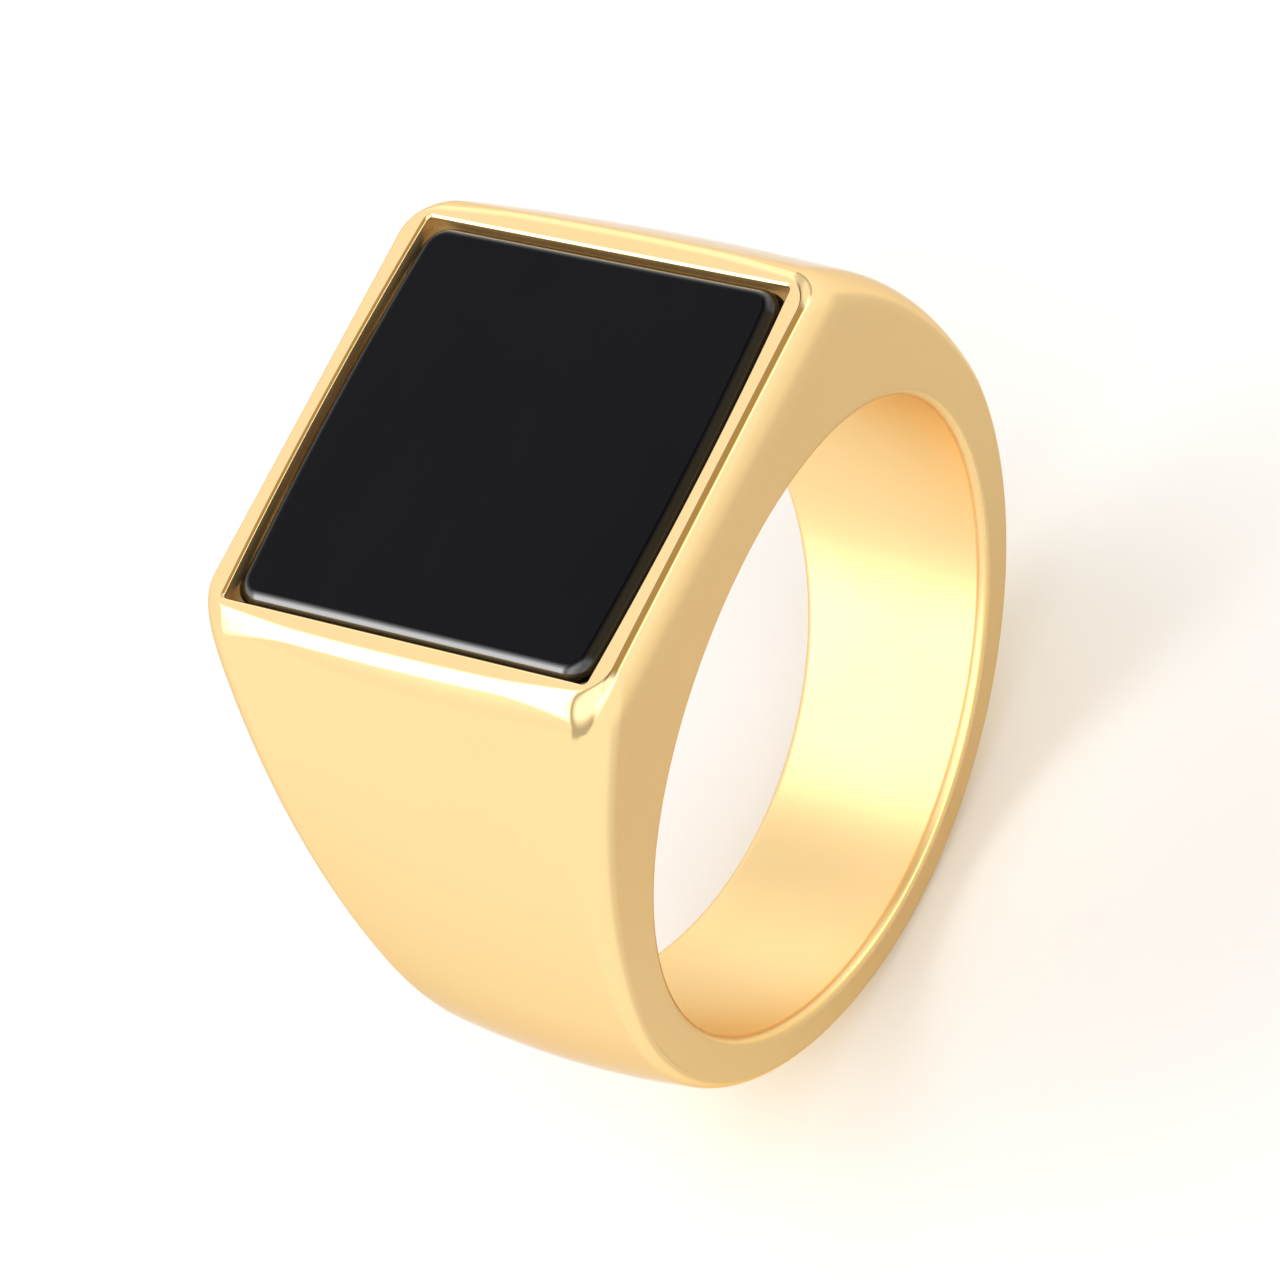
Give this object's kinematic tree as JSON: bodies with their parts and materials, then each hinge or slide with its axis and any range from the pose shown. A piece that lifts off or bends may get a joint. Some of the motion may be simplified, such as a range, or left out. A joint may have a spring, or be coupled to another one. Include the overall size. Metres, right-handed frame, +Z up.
{
  "type": "signet ring",
  "caption": "Square-faced signet ring with a flat black stone tablet bedded in a raised rim and a tapering polished band.",
  "frame": {"origin": "centre of the finger hole", "axes": "+Z up through the middle of the head, Y along the finger hole, X from shoulder to shoulder"},
  "size_m": [0.0242, 0.015, 0.0255],
  "materials": {
    "gold_tone_metal": "polished",
    "black_onyx": "polished",
    "cured_epoxy": "gloss"
  },
  "bodies": {
    "root": {"ring_body": "gold_tone_metal", "onyx_tablet": "black_onyx", "adhesive_bed": "cured_epoxy"}
  },
  "joints": []
}
